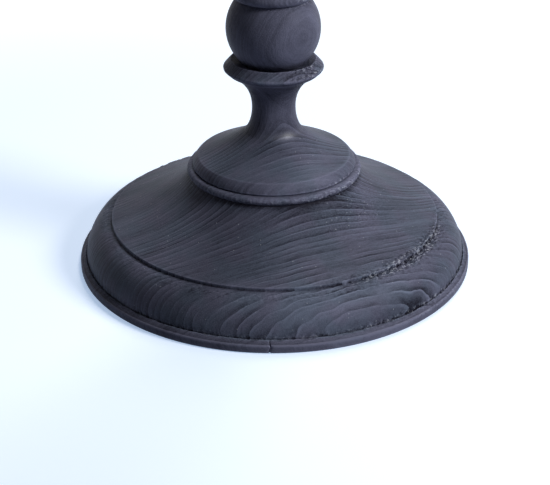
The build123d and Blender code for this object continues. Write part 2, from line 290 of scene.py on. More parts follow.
# Outlines: points (radius, height) in the order that keeps the wood on the left. Each stretch is its
# points and the most that its rows lie apart.
def straight(*corners, apart=SHOWN):
    """Corner points of straight runs, as they stand."""
    return np.array(corners, dtype=float), apart


def pulled(*corners, apart=SHOWN):
    """A curve pulled by its corner points.

    At each share of the way the point is the mean of the corners, weighted by their binomial shares,
    so the curve starts at the first corner, ends at the last and leans towards those between.
    """
    share = np.linspace(0, 1, CURVE_POINTS)[:, None]
    last = len(corners) - 1
    weights = [comb(last, k) * share**k * (1 - share) ** (last - k) for k in range(last + 1)]
    points = sum(weight * np.array(corner, dtype=float) for weight, corner in zip(weights, corners))
    return points, apart


def round_through(start, middle, end):
    """The arc through three points, at even angles about the centre that is equally far from them."""
    start, middle, end = (complex(*point) for point in (start, middle, end))
    ratio = (end - start) / (middle - start)
    centre = start + (middle - start) * (ratio - abs(ratio) ** 2) / (ratio - ratio.conjugate())
    first, half, last = np.unwrap(np.angle([start - centre, middle - centre, end - centre]))
    points = centre + abs(start - centre) * np.exp(1j * np.linspace(first, last, ARC_POINTS))
    return np.column_stack([points.real, points.imag]), SHOWN


def rounded_edge(radius, height, rounding):
    """An outer edge rounded over, pulled towards the corner that it replaces."""
    return pulled((radius, height - rounding), (radius, height), (radius - rounding, height))


def ogee(low, high, share):
    """A curve that is upright at both ends, with its pulls a share of its height in from them."""
    rise = share * (high[1] - low[1])
    return pulled(low, (low[0], low[1] + rise), (high[0], high[1] - rise), high)


def ring_and_cove(foot, swell, top, waist):
    """A round ring that swells to a radius halfway up, and the cove from its top in to a waist."""
    cove_pull = (waist[0], waist[1] - cove_share * (waist[1] - top[1]))
    return [
        round_through(foot, (swell, (foot[1] + top[1]) / 2), top),
        pulled(top, (waist[0], top[1]), cove_pull, waist),
    ]


def collar_and_ball(neck, throat, collar, edge, ridge, seat, middle, crown):
    """A throat that flares to a collar's edge, then in to its ridge and quirk, and the ball seated there."""
    throat_pull = (neck[0], neck[1] + throat_share * (throat[1] - neck[1]))
    rim_pull = (collar[0] + collar_rim_share * (edge[1] - collar[1]), (collar[1] + edge[1]) / 2)
    return [
        pulled(neck, throat_pull, throat),
        straight(throat, collar),
        pulled(collar, rim_pull, edge),
        straight(edge, ridge, seat),
        round_through(seat, middle, crown),
    ]


def bell_weights(width):
    """Weights of a running mean over steps of the walk: a bell of the width, out to four widths each way."""
    reach = int(4 * width / WALK)
    weights = np.exp(-0.5 * (np.arange(-reach, reach + 1) * WALK / width) ** 2)
    return weights / weights.sum(), reach


class Rows:
    """The rows of a turned surface: where each lies, which way it faces and how it bends.

    The bend is the one at the row, and the sweep is the bend at large.
    """

    def __init__(self, stretches, wear, closed):
        """Walks the outline, wears its corners and picks the rows.

        Each stretch is walked in even steps, then every point becomes the bell-weighted mean of its
        neighbours within the width of the wear, which rounds the corners. Rows are picked so that
        neither their distance nor their turn is more than the stretch allows.
        """
        walks = []
        apart = []
        for stretch, spacing in stretches:
            travelled = np.concatenate([[0], np.cumsum(np.hypot(*np.diff(stretch, axis=0).T))])
            stations = np.arange(0, travelled[-1], WALK)
            walks.append(np.column_stack([np.interp(stations, travelled, side) for side in stretch.T]))
            apart.append(np.full(len(stations), spacing))
        walk = np.concatenate(walks)
        apart = np.concatenate(apart)
        weights, reach = bell_weights(wear)
        padded = np.pad(walk, ((reach + 1, reach + 1), (0, 0)), mode="wrap" if closed else "edge")
        worn = np.column_stack([np.convolve(side, weights, "valid") for side in padded.T])
        heading = np.gradient(worn, axis=0)[1:-1]
        worn = worn[1:-1]
        length = np.maximum(np.hypot(*heading.T), 1e-9)
        turned = np.unwrap(np.arctan2(heading[:, 1], heading[:, 0]))
        bend = np.gradient(turned) / length
        most_turn = np.where(apart > SHOWN, HIDDEN_TURN, SHOWN_TURN)
        need = np.cumsum(length / apart + np.abs(bend) * length / most_turn)
        places = np.linspace(need[0], need[-1], int(need[-1]), endpoint=not closed)
        station = np.arange(len(worn))
        picks = np.interp(places, need, station)
        self.radius = np.interp(picks, station, worn[:, 0])[:, None]
        self.height = np.interp(picks, station, worn[:, 1])[:, None]
        self.out = np.interp(picks, station, heading[:, 1] / length)[:, None]
        self.up = np.interp(picks, station, -heading[:, 0] / length)[:, None]
        self.bend = np.interp(picks, station, bend)[:, None]
        sweep = np.convolve(np.clip(bend, -SWEEP_MOST, SWEEP_MOST), bell_weights(SWEEP_WIDTH)[0], "same")
        self.sweep = np.interp(picks, station, sweep)[:, None]
        if not closed:
            self.radius[[0, -1]] = 0

    def points(self, angle, cut):
        """The surface: each row goes once round the axis, set back along its own outward direction."""
        radius = self.radius - cut * self.out
        height = self.height - cut * self.up + 0 * angle
        return np.stack([radius * np.cos(angle), radius * np.sin(angle), height], axis=-1)


def round_the_axis(count, crowd=0.0, extra=()):
    """Angles round the axis.

    Even steps, drawn together about the torn side and its opposite by a sine of twice the angle, with
    extra angles where a narrow feature needs them.
    """
    even = np.arange(count) * 2 * pi / count - pi
    crowded = even - crowd * np.sin(2 * (even - TORN_SIDE))
    return np.sort(np.concatenate([crowded, extra]))[None, :]


def lattice_noise(points, size, seed):
    """Smooth noise from -1 to 1.

    Every corner of a cubic lattice has a value hashed from its whole-number place, and a point takes
    the eight values round it, blended by the smooth step of its place in the cell.
    """
    cell = np.floor(points / size)
    share = points / size - cell
    blend = share * share * (3 - 2 * share)
    cell = cell.astype(np.int64)
    total = np.zeros(points.shape[:-1])
    for corner in np.ndindex(2, 2, 2):
        place = (cell + np.array(corner)) * PLACE_FACTORS
        mixed = place[..., 0] ^ place[..., 1] ^ place[..., 2] ^ seed * SEED_FACTOR
        mixed = (mixed ^ (mixed >> 13)) * MIX_FACTOR & 0xFFFFFFFF
        mixed = (mixed ^ (mixed >> 16)) & 0xFFFF
        weight = np.where(corner, blend, 1 - blend).prod(axis=-1)
        total += weight * (mixed / 32767.5 - 1)
    return total


def bell(distance, width):
    """1 at no distance, falling off in a bell over the width."""
    return np.exp(-((distance / width) ** 2))


def torn_sides(angle):
    """How much the tool met the fibres: 1 on the torn side, a third on its opposite, 0 between."""
    facing = np.cos(angle - TORN_SIDE)
    return facing**6 * np.where(facing > 0, 1, OPPOSITE_SHARE)


def tear_out(rows, angle, edges):
    """Depth of wood torn from edges, and how torn the surface is.

    Each edge is (radius, height, width, depth, share on the torn sides, share all round). Torn fibre falls
    off in a bell from the edge, by the sum of its two shares, and two sizes of noise break it into pits.
    """
    points = rows.points(angle, 0)
    pits = 1.1 * lattice_noise(points, *COARSE_PITS) + 0.9 * lattice_noise(points, *FINE_PITS)
    pits = np.clip(0.25 + pits, 0, 1)
    depth = np.zeros(points.shape[:-1])
    torn = np.zeros(points.shape[:-1])
    for radius, height, width, most, on_sides, all_round in edges:
        met = all_round + on_sides * torn_sides(angle)
        near = bell(np.hypot(rows.radius - radius, rows.height - height), width) * met
        depth += most * near * pits
        torn = np.maximum(torn, near)
    return depth, torn


def uneven(rows, angle):
    """A slight unevenness left by the hand and by the drying wood: slow noise, always cut inwards."""
    return UNEVEN_DEPTH * (0.5 + 0.5 * lattice_noise(rows.points(angle, 0), *UNEVENNESS))


# Meshes
def skin(name, points, closed, marks):
    """A mesh over a grid of points in millimetres, rows by columns.

    The columns join round. The rows join too where the outline is closed, and otherwise the first and
    last row each shrink to one pole. Marks are values per point that a finish reads by name.
    """
    rows, columns = points.shape[:2]
    index = np.arange(rows * columns).reshape(rows, columns)
    beside = np.roll(index, -1, axis=1)
    above = np.roll(index, -1, axis=0)
    cells = np.stack([index, beside, np.roll(above, -1, axis=1), above], axis=-1)
    corners = points.reshape(-1, 3)
    keep = np.ones(rows * columns, dtype=bool)
    faces = cells.reshape(-1, 4).tolist()
    if not closed:
        bottom = np.stack([np.zeros(columns, dtype=int), beside[1], index[1]], axis=-1)
        top = np.stack([index[-2], beside[-2], np.full(columns, index[-1, 0])], axis=-1)
        quads = cells[1:-2].reshape(-1, 4)
        keep[1:columns] = False
        keep[index[-1, 1:]] = False
        renumber = np.cumsum(keep) - 1
        faces = renumber[quads].tolist() + renumber[bottom].tolist() + renumber[top].tolist()
    mesh = bpy.data.meshes.new(name)
    mesh.from_pydata((corners[keep] * MM).tolist(), [], faces)
    for mark, values in marks.items():
        layer = mesh.attributes.new(mark, "FLOAT", "POINT")
        kept = np.broadcast_to(values, (rows, columns)).ravel()[keep]
        layer.data.foreach_set("value", kept.astype(np.float32))
    mesh.polygons.foreach_set("use_smooth", np.ones(len(mesh.polygons), dtype=bool))
    mesh.update()
    piece = bpy.data.objects.new(name, mesh)
    bpy.context.collection.objects.link(piece)
    return piece


def place_piece(piece, node, body, finish):
    """Finishes a piece, hides the solid that it stands for and hangs it on the body that it rides on."""
    piece.data.materials.append(finish)
    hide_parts(node)
    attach(piece, body)


def worn_arris(rows, radius):
    """How rubbed an arris is: 1 where the outline bends outwards tighter than the radius, 0 where flat."""
    return np.clip(rows.bend * radius, 0, 1)


def painted_hollow_shade(rows, radius):
    """How much painted shade a hollow gets: 1 in a sharp corner or a sweep to the radius, 0 where flat."""
    return np.maximum(np.clip(-rows.bend, 0, 1), np.clip(-rows.sweep * radius, 0, 1))


def burnished(rows):
    """How smoothly the wood was rubbed: well on the plinth, half on the bead, fully from the neck up.

    The collar under the lower ball stands out of the way of the cloth and keeps its grain.
    """
    plinth = RUBBED_PLINTH * (rows.height < quirk_z)
    bead = RUBBED_BEAD * ((rows.height > bead_z) & (rows.height < disc_z))
    neck = np.clip((rows.height - neck_foot_z) / neck_foot_height, 0, 1)
    collar = bell(rows.height - collar_edge_z, COLLAR_REACH)
    return np.maximum(plinth + bead, neck * (1 - COLLAR_KEEPS * collar))


# Outlines of the turned wood
def foot_outline():
    """From the screw hole down the hollow, out under the plinth, up the mouldings and into the socket."""
    hollow_pull = hollow_radius - hollow_share * (hollow_radius - washer_seat_radius)
    slope_pull = step_radius - slope_run_share * (step_radius - bead_radius)
    bead_middle = (bead_radius + platform_radius) / 2 + bead_swell
    socket_radius = spigot_radius + glue_gap
    return [
        straight((screw_hole_radius, hollow_depth), (washer_seat_radius, hollow_depth), apart=HIDDEN),
        pulled(
            (washer_seat_radius, hollow_depth),
            (hollow_pull, hollow_depth),
            (hollow_radius, 0),
            apart=HIDDEN,
        ),
        straight((hollow_radius, 0), (foot_radius - foot_bevel, 0), (foot_radius, foot_bevel), apart=HIDDEN),
        straight((foot_radius, foot_bevel), (foot_radius, plinth_height - plinth_round)),
        rounded_edge(foot_radius, plinth_height, plinth_round),
        straight(
            (foot_radius - plinth_round, plinth_height),
            (foot_radius - ledge_width, ledge_z),
            (quirk_radius, quirk_z),
        ),
        pulled(
            (quirk_radius, quirk_z),
            (quirk_radius, quirk_z + ovolo_share * ovolo_height),
            (step_radius + ovolo_share * ovolo_width, ovolo_z),
            (step_radius, ovolo_z),
        ),
        straight((step_radius, ovolo_z), (step_radius, step_z)),
        pulled(
            (step_radius, step_z),
            (slope_pull, step_z + slope_rise_share * slope_height),
            (bead_radius, bead_z),
        ),
        round_through(
            (bead_radius, bead_z),
            (bead_middle, bead_z + bead_height / 2),
            (platform_radius, platform_z),
        ),
        straight(
            (platform_radius, platform_z),
            (socket_radius, platform_z),
            (socket_radius, foot_socket_z),
            (screw_hole_radius, foot_socket_z),
            (screw_hole_radius, hollow_depth),
            apart=HIDDEN,
        ),
    ]


def lower_stem_outline():
    """From the pilot hole down, round the spigot, up the disc, neck, collar and ball, into the socket."""
    cone_pull = disc_arris_radius - cone_run_share * (disc_arris_radius - neck_foot_radius)
    side_middle = disc_radius - disc_lean / 2 + disc_swell
    socket_radius = stem_tenon_radius + glue_gap
    return [
        straight(
            (0, screw_pilot_z),
            (screw_pilot_radius, screw_pilot_z),
            (screw_pilot_radius, spigot_z),
            (spigot_radius - tenon_bevel, spigot_z),
            (spigot_radius, spigot_z + tenon_bevel),
            (spigot_radius, platform_z),
            (disc_radius - disc_inset, platform_z),
            apart=HIDDEN,
        ),
        straight((disc_radius - disc_inset, platform_z), (disc_radius, platform_z + disc_inset)),
        round_through(
            (disc_radius, platform_z + disc_inset),
            (side_middle, (platform_z + disc_inset + disc_z) / 2),
            (disc_arris_radius, disc_z),
        ),
        pulled(
            (disc_arris_radius, disc_z),
            (cone_pull, disc_z + cone_rise_share * cone_height),
            (neck_foot_radius, neck_foot_z),
        ),
        pulled(
            (neck_foot_radius, neck_foot_z),
            (neck_radius, neck_z - neck_foot_share * neck_foot_height),
            (neck_radius, neck_z),
        ),
        *collar_and_ball(
            (neck_radius, neck_z),
            (throat_radius, throat_z),
            (collar_radius, collar_z),
            (collar_radius, collar_edge_z),
            (collar_ridge_radius, collar_ridge_z),
            (ball_seat_radius, ball_seat_z),
            (ball_radius, ball_z),
            (ball_crown_radius, ball_top_z),
        ),
        straight(
            (ball_crown_radius, ball_top_z),
            (socket_radius, ball_top_z),
            (socket_radius, stem_socket_z),
            (0, stem_socket_z),
            apart=HIDDEN,
        ),
    ]


def upper_stem_outline():
    """From the tenon in the ball, up the ring, vase, collar, ball, ring and bell, into the tang's hole."""
    tang_hole_radius = tang_width / 2 + tang_gap
    tang_tip_radius = tang_tip_width / 2 + tang_gap
    return [
        straight(
            (0, stem_tenon_z),
            (stem_tenon_radius - tenon_bevel, stem_tenon_z),
            (stem_tenon_radius, stem_tenon_z + tenon_bevel),
            (stem_tenon_radius, ball_top_z),
            (ball_crown_radius, ball_top_z),
            apart=HIDDEN,
        ),
        *ring_and_cove(
            (ball_crown_radius, ball_top_z),
            lower_ring_radius,
            (lower_ring_top_radius, lower_ring_z),
            (waist_radius, waist_z),
        ),
        ogee((waist_radius, waist_z), (belly_radius, belly_z), belly_share),
        ogee((belly_radius, belly_z), (taper_radius, taper_z), taper_share),
        *collar_and_ball(
            (taper_radius, taper_z),
            (upper_throat_radius, upper_throat_z),
            (upper_collar_radius, upper_collar_z),
            (upper_collar_radius, upper_collar_edge_z),
            (upper_collar_ridge_radius, upper_collar_ridge_z),
            (upper_ball_seat_radius, upper_ball_seat_z),
            (upper_ball_radius, upper_ball_z),
            (upper_ball_crown_radius, upper_ball_top_z),
        ),
        *ring_and_cove(
            (upper_ball_crown_radius, upper_ball_top_z),
            upper_ring_radius,
            (upper_ring_top_radius, upper_ring_z),
            (bell_neck_radius, bell_neck_z),
        ),
        pulled(
            (bell_neck_radius, bell_neck_z),
            (bell_neck_radius, bell_neck_z + bell_rise_share * bell_height),
            (bell_radius - bell_run_share * (bell_radius - bell_neck_radius), bell_z),
            (bell_radius, bell_z),
        ),
        straight((bell_radius, bell_z), (bell_radius, dish_z)),
        straight(
            (bell_radius, dish_z),
            (dish_tenon_radius, dish_z),
            (dish_tenon_radius, pocket_z - tenon_bevel),
            (dish_tenon_radius - tenon_bevel, pocket_z),
            (tang_hole_radius, pocket_z),
            (tang_tip_radius, tang_z - end_gap),
            (0, tang_z - end_gap),
            apart=HIDDEN,
        ),
    ]


def dish_outline():
    """From the bore out under the neck, up the slope, step, ovolo and rim, into the recess and pocket."""
    bore_radius = dish_tenon_radius + glue_gap
    slope_run = dish_slope_radius - dish_neck_radius
    slope_pull = dish_neck_radius + dish_slope_run_share * slope_run
    slope_pull_z = dish_neck_z + dish_slope_rise_share * dish_slope_height
    return [
        straight((bore_radius, dish_z), (bell_radius, dish_z), apart=HIDDEN),
        straight((bell_radius, dish_z), (dish_neck_radius, dish_z), (dish_neck_radius, dish_neck_z)),
        pulled(
            (dish_neck_radius, dish_neck_z),
            (slope_pull, slope_pull_z),
            (dish_slope_radius, dish_slope_z),
        ),
        straight((dish_slope_radius, dish_slope_z), (dish_step_radius, dish_slope_z)),
        pulled(
            (dish_step_radius, dish_slope_z),
            (dish_step_radius + ovolo_share * dish_ovolo_width, dish_slope_z),
            (dish_ovolo_radius, dish_rim_z - ovolo_share * dish_ovolo_height),
            (dish_ovolo_radius, dish_rim_z),
        ),
        straight(
            (dish_ovolo_radius, dish_rim_z),
            (dish_radius, dish_rim_z),
            (dish_radius, dish_top_z - dish_rim_round),
        ),
        rounded_edge(dish_radius, dish_top_z, dish_rim_round),
        straight(
            (dish_radius - dish_rim_round, dish_top_z),
            (pan_recess_radius, dish_top_z),
            (pan_recess_radius, recess_z),
            (plate_pocket_radius, recess_z),
        ),
        straight(
            (plate_pocket_radius, recess_z),
            (plate_pocket_radius, pocket_z),
            (bore_radius, pocket_z),
            (bore_radius, dish_z),
            apart=HIDDEN,
        ),
    ]


def drip_pan_outline():
    """From the hole out under the floor, up the leaning wall, round the beaded lip and back inside."""
    floor_z = recess_z + pan_thickness
    bend_z = floor_z + pan_corner_radius
    outer_radius = pan_corner_radius + pan_thickness
    across = np.array([cos(pan_lean), -sin(pan_lean)])
    along = np.array([sin(pan_lean), cos(pan_lean)])
    bend_centre = np.array([pan_floor_radius, bend_z])
    inner_wall = bend_centre + pan_corner_radius * across
    outer_wall = bend_centre + outer_radius * across
    inner_lip = inner_wall + pan_wall_length * along
    outer_lip = outer_wall + pan_wall_length * along
    lip_centre = (inner_lip + outer_lip) / 2
    half_lean = pan_lean + (pi / 2 - pan_lean) / 2
    halfway = np.array([cos(half_lean), -sin(half_lean)])
    lip_drop = sqrt(pan_bead_radius**2 - (pan_thickness / 2) ** 2)
    lip_low = lip_centre + pan_thickness / 2 * across
    lip_high = lip_centre - pan_thickness / 2 * across
    lip_middle = lip_centre + (lip_drop + pan_bead_radius) * along
    return [
        straight((pan_hole_radius, recess_z), (pan_floor_radius, recess_z)),
        round_through((pan_floor_radius, recess_z), bend_centre + outer_radius * halfway, outer_wall),
        straight(outer_wall, lip_low),
        round_through(lip_low, lip_middle, lip_high),
        straight(lip_high, inner_wall),
        round_through(inner_wall, bend_centre + pan_corner_radius * halfway, (pan_floor_radius, floor_z)),
        straight((pan_floor_radius, floor_z), (pan_hole_radius, floor_z), (pan_hole_radius, recess_z)),
    ]


def pricket_outline():
    """From the end of the tang up its taper, round the shoulder, up the root and along the spike."""
    return [
        straight(
            (0, tang_z),
            (tang_tip_width / 2, tang_z),
            (tang_width / 2, pocket_z),
            (root_radius, pocket_z),
            (root_radius, recess_z),
            apart=HIDDEN,
        ),
        straight(
            (root_radius, recess_z),
            (shoulder_radius, recess_z),
            (shoulder_radius, shoulder_z - shoulder_bevel),
            (shoulder_radius - shoulder_bevel, shoulder_z),
            (root_radius, shoulder_z),
            (root_radius, root_z),
            (tip_radius, tip_z - tip_radius),
        ),
        rounded_edge(tip_radius, tip_z, tip_radius),
    ]


# Materials: a year's growth and the spacing of specks of dust
YEAR = 2.0
DUST_SPACING = 1.5


class Amount:
    """A value on its way through a finish. Sums and products of amounts add Math nodes."""

    def __init__(self, finish, socket):
        self.finish = finish
        self.socket = socket

    def maths(self, operation, first, second=0.0):
        return self.finish.node("ShaderNodeMath", {"operation": operation}, {0: first, 1: second})

    def other(self, output):
        return Amount(self.finish, self.socket.node.outputs[output])

    def __add__(self, value):
        return self.maths("ADD", self, value)

    def __radd__(self, value):
        return self.maths("ADD", value, self)

    def __sub__(self, value):
        return self.maths("SUBTRACT", self, value)

    def __rsub__(self, value):
        return self.maths("SUBTRACT", value, self)

    def __mul__(self, value):
        return self.maths("MULTIPLY", self, value)

    def __rmul__(self, value):
        return self.maths("MULTIPLY", value, self)

    def floor(self):
        return self.maths("FLOOR", self)

    def part(self):
        return self.maths("FRACT", self)

    def least(self, value):
        return self.maths("MINIMUM", self, value)

    def most(self, value):
        return self.maths("MAXIMUM", self, value)


class Finish:
    """A material under construction, on one Principled shader."""

    def __init__(self, name, **constants):
        self.material = bpy.data.materials.new(name)
        self.material.use_nodes = True
        self.tree = self.material.node_tree
        self.shader = self.tree.nodes["Principled BSDF"]
        for socket, value in constants.items():
            self.shader.inputs[socket.replace("_", " ")].default_value = value

    def node(self, kind, settings, sockets, output=0):
        """Adds a node: its type, its settings, then the values or links of its sockets."""
        made = self.tree.nodes.new(kind)
        for name, value in settings.items():
            setattr(made, name, value)
        for name, value in sockets.items():
            if isinstance(value, Amount):
                self.tree.links.new(value.socket, made.inputs[name])
            else:
                made.inputs[name].default_value = value
        return Amount(self, made.outputs[output])

    def feed(self, socket, amount):
        self.tree.links.new(amount.socket, self.shader.inputs[socket])

    def vector(self, operation, first, second, output=0):
        return self.node("ShaderNodeVectorMath", {"operation": operation}, {0: first, 1: second}, output)

    def millimetres(self):
        """The piece's own coordinates, in millimetres."""
        place = self.node("ShaderNodeTexCoord", {}, {}, "Object")
        return self.vector("MULTIPLY", place, (1 / MM, 1 / MM, 1 / MM))

    def along(self, place, direction):
        return self.vector("DOT_PRODUCT", place, direction, "Value")

    def joined(self, x, y, z):
        return self.node("ShaderNodeCombineXYZ", {}, {0: x, 1: y, 2: z})

    def noise(self, place, size, detail=2.0, roughness=0.5):
        """Noise about 0, from about -1 to 1, whose largest features are about the size across."""
        grey = self.node(
            "ShaderNodeTexNoise",
            {"noise_dimensions": "3D"},
            {"Vector": place, "Scale": 1 / size, "Detail": detail, "Roughness": roughness},
            "Fac",
        )
        return (grey - 0.5) * 3

    def swayed(self, place, size, most):
        """The place, moved every way by slow noise of a size, by about half the most given."""
        drift = self.node(
            "ShaderNodeTexNoise",
            {"noise_dimensions": "3D"},
            {"Vector": place, "Scale": 1 / size, "Detail": 1.0},
            "Color",
        )
        drift = self.vector("SUBTRACT", drift, (0.5, 0.5, 0.5))
        drift = self.node("ShaderNodeVectorMath", {"operation": "SCALE"}, {0: drift, "Scale": most})
        return self.vector("ADD", place, drift)

    def step(self, value, low, high):
        """0 below low, 1 above high, smooth between."""
        return self.node(
            "ShaderNodeMapRange",
            {"interpolation_type": "SMOOTHSTEP"},
            {"Value": value, "From Min": low, "From Max": high},
        )

    def mark(self, name):
        return self.node("ShaderNodeAttribute", {"attribute_name": name}, {}, "Fac")

    def mix(self, share, first, second):
        return self.node("ShaderNodeMix", {"data_type": "RGBA"}, {0: share, 6: first, 7: second}, 2)

    def bump(self, height, depth):
        """Lifts the surface by the height, whose 1 is the depth in millimetres."""
        normal = self.node("ShaderNodeBump", {}, {"Strength": 1.0, "Distance": depth * MM, "Height": height})
        self.feed("Normal", normal)


def tint(red, green, blue):
    """A colour in screen values from 0 to 255, as the shader takes it."""
    shares = np.array([red, green, blue]) / 255
    light = np.where(shares > 0.04045, ((shares + 0.055) / 1.055) ** 2.4, shares / 12.92)
    return (*light.tolist(), 1.0)


def growth_layers(finish, side, tilt, bow, twist, lean, spiral, middle_z):
    """Where a point lies in the growth layers of its blank: its depth, its places along them, how far out.

    The layers face a side of the stand, tilted a little, and are bowed: the depth is the distance along
    that direction plus shares of the squares and product of the places across it. Slow noise sways them,
    the outer ones most, and by the spiral they turn as they climb, with the square of the height.
    """
    face = Vector((cos(side) * cos(tilt), sin(side) * cos(tilt), sin(tilt)))
    across = Vector((-sin(side), cos(side), 0))
    place = finish.millimetres()
    outer = finish.step(finish.along(place, face), 42.0, 62.0)
    swayed = finish.swayed(finish.swayed(place, 13.0, 0.9 + 1.4 * outer), 4.5, 0.25 + 0.4 * outer)
    depth = finish.along(swayed, face)
    width = finish.along(swayed, across)
    height = finish.along(swayed, face.cross(across)) - middle_z
    climb = height * height
    layers = depth + (width * width * bow + width * height * twist + climb * lean + climb * width * spiral)
    return layers, width, height, outer


def ebonised_wood(name, grain, start, sapwood):
    """Stained wood whose growth layers lie in the solid, so that every moulding cuts them truly.

    Each year a thin pale line is followed by wood that darkens and then ends at once. Strands and short
    ticks of fibre run along the layers, and the outer layers are paler sapwood. Marks on the mesh say
    where the wood is torn, worn, burnished, dusty or waxed, where highlights and shade are painted on it
    in patches, and where a hollow gets painted shade.
    """
    finish = Finish(name, Specular_IOR_Level=0.05, Coat_Roughness=0.45)
    layers, width, height, outer = growth_layers(finish, **grain)
    place = finish.millimetres()
    burnished = finish.mark("burnished")

    uneven_years = finish.noise(finish.joined(layers, 0.0, 0.0), 9.0, 1.0)
    count = layers * (1 / YEAR) + 0.7 * uneven_years + start
    year = finish.node("ShaderNodeTexWhiteNoise", {"noise_dimensions": "1D"}, {"W": count.floor()}, "Value")
    season = count.part()
    early = 1 - finish.step(season, 0.05, 0.26)
    late = finish.step(season, 0.4, 0.95)
    shown = 0.1 + 0.9 * finish.step(finish.noise(place, 15.0, 2.0), -0.5, 0.5)
    cut = shown * (1 + 0.7 * outer) * (1 - 0.75 * burnished)
    lines = (0.8 * early - 0.7 * late) * (0.5 + 0.5 * year) * cut

    bands = finish.noise(finish.joined(layers, width * 0.05, height * 0.05), 5.0, 1.0)
    strands = finish.noise(finish.joined(layers, width * 0.06, height * 0.06), 0.9, 5.0, 0.68)
    ticks = finish.noise(finish.joined(layers * 3.2, width * 0.45, height * 0.45), 1.0, 2.0, 0.6)
    grit = finish.noise(place, 0.38, 1.0)
    blotch = finish.noise(place, 17.0, 2.0)
    pale = finish.step(layers, sapwood, sapwood + 11)
    torn = finish.mark("torn")
    worn = finish.mark("worn")
    # Painted shade: the hollow mark darkens the wood in hollows and corners
    hollow = finish.mark("hollow")
    settled = finish.mark("settled")
    # The next mark holds painted highlights and painted shade, patch by patch
    painted_light_and_shade = finish.mark("painted_light_and_shade")
    splinters = finish.noise(finish.joined(layers * 1.3, width * 0.6, height * 0.6), 0.8, 3.0, 0.7)

    light = 0.49 + 0.44 * lines + 0.17 * bands + 0.21 * strands + 0.12 * ticks + 0.12 * blotch
    # Here the patches add painted highlights and painted shade, and the hollows add painted shade
    light = light + (0.12 + 0.3 * settled) * grit + 0.05 * pale + 0.35 * worn + 0.3 * painted_light_and_shade - 0.26 * hollow
    light = light + torn * (1.3 * splinters - 0.1)
    lilac = finish.step(finish.noise(place, 9.0, 1.0) + burnished, -0.6, 0.6)
    grey = finish.mix(lilac, tint(109, 118, 138), tint(114, 116, 138))
    shade = finish.mix(light.most(0.0).least(1.0), tint(27, 27, 38), grey)
    dust = finish.node(
        "ShaderNodeTexVoronoi",
        {"feature": "F1"},
        {"Vector": place, "Scale": 1 / DUST_SPACING, "Randomness": 1.0},
        "Distance",
    )
    chosen = finish.node("ShaderNodeSeparateColor", {}, {0: dust.other("Color")}, 0)
    dusty = finish.step(chosen + 0.2 * blotch + 0.6 * settled - burnished, 0.76, 0.95)
    speck = (1 - finish.step(dust, 0.06, 0.16)) * dusty
    flake = finish.step(torn, 0.3, 0.75) * finish.step(splinters, 0.1, 0.5)
    finish.feed("Base Color", finish.mix((0.5 * speck + 0.68 * flake).least(1.0), shade, tint(195, 199, 208)))
    finish.feed("Coat Weight", 0.8 * finish.mark("waxed"))
    finish.feed("Roughness", 0.5 + 0.06 * strands + 0.05 * grit + 0.2 * torn)
    relief = 0.3 * strands + 0.2 * lines + 0.25 * ticks + 0.3 * grit + torn * splinters * 2.2
    finish.bump(relief, 0.1)
    return finish.material


def blackened_iron(name, spun):
    """Forged sheet, blackened in oil: dark scale over grey metal, rubbed bright along its arrises.

    Where it was spun, fine rings about the axis follow a point's distance from it.
    """
    finish = Finish(name)
    place = finish.millimetres()
    flat = finish.vector("MULTIPLY", place, (1, 1, 0))
    radius = finish.node("ShaderNodeVectorMath", {"operation": "LENGTH"}, {0: flat}, "Value")
    scale = finish.noise(place, 9.0, 4.0, 0.6)
    grain = finish.noise(place, 0.7, 2.0)
    rings = finish.node(
        "ShaderNodeTexNoise",
        {"noise_dimensions": "1D"},
        {"W": radius * 2.2, "Scale": 1.0, "Detail": 2.0},
        "Fac",
    )
    strokes = (rings - 0.5) * spun
    worn = finish.mark("worn")
    rubbed = finish.step(worn * 0.9 + 0.35 * grain + 0.25 * scale, 0.35, 0.95)
    film = finish.mix(finish.step(scale + strokes, -0.9, 0.9), tint(58, 56, 57), tint(98, 95, 94))
    rust = finish.step(finish.noise(place, 4.0, 3.0, 0.65), 0.75, 1.3)
    film = finish.mix(rust * 0.5, film, tint(92, 66, 50))
    finish.feed("Base Color", finish.mix(rubbed, film, tint(150, 149, 148)))
    finish.feed("Metallic", 0.85 - 0.5 * rust)
    finish.feed("Roughness", 0.47 + 0.12 * scale - 0.12 * rubbed + 0.2 * rust + 0.1 * strokes)
    finish.bump(0.35 * grain + 0.4 * scale + strokes * 1.2, 0.03)
    return finish.material


def forged_steel(name):
    """Drawn-out steel: dark scale near the shoulder, filed bright along the spike towards its tip."""
    finish = Finish(name)
    place = finish.millimetres()
    height = finish.along(place, (0, 0, 1))
    filed = finish.step(height, shoulder_z - 2, tip_z)
    strokes = finish.noise(finish.vector("MULTIPLY", place, (2.5, 2.5, 0.12)), 1.0, 3.0, 0.6)
    scale = finish.noise(place, 5.0, 4.0, 0.62)
    bright = finish.step(filed * 1.3 + 0.35 * scale + 0.25 * strokes + 0.3 * finish.mark("worn"), 0.25, 1.2)
    finish.feed("Base Color", finish.mix(bright, tint(70, 67, 67), tint(168, 167, 166)))
    finish.feed("Metallic", 0.8 + 0.2 * bright)
    finish.feed("Roughness", 0.55 - 0.22 * bright + 0.1 * strokes)
    finish.bump(0.5 * strokes + 0.4 * scale, 0.03)
    return finish.material


def screw_steel(name):
    """Plain screw steel, dulled: grey with darker stains and turned marks."""
    finish = Finish(name)
    place = finish.millimetres()
    stain = finish.noise(place, 2.4, 3.0, 0.6)
    grain = finish.noise(finish.vector("MULTIPLY", place, (1, 1, 3.5)), 0.6, 2.0)
    share = finish.step(stain + 0.5 * grain, -1.0, 1.0)
    finish.feed("Base Color", finish.mix(share, tint(88, 87, 86), tint(150, 149, 147)))
    finish.feed("Metallic", 0.9 + 0.1 * share)
    finish.feed("Roughness", 0.5 - 0.16 * share)
    finish.bump(0.4 * grain + 0.3 * stain, 0.02)
    return finish.material


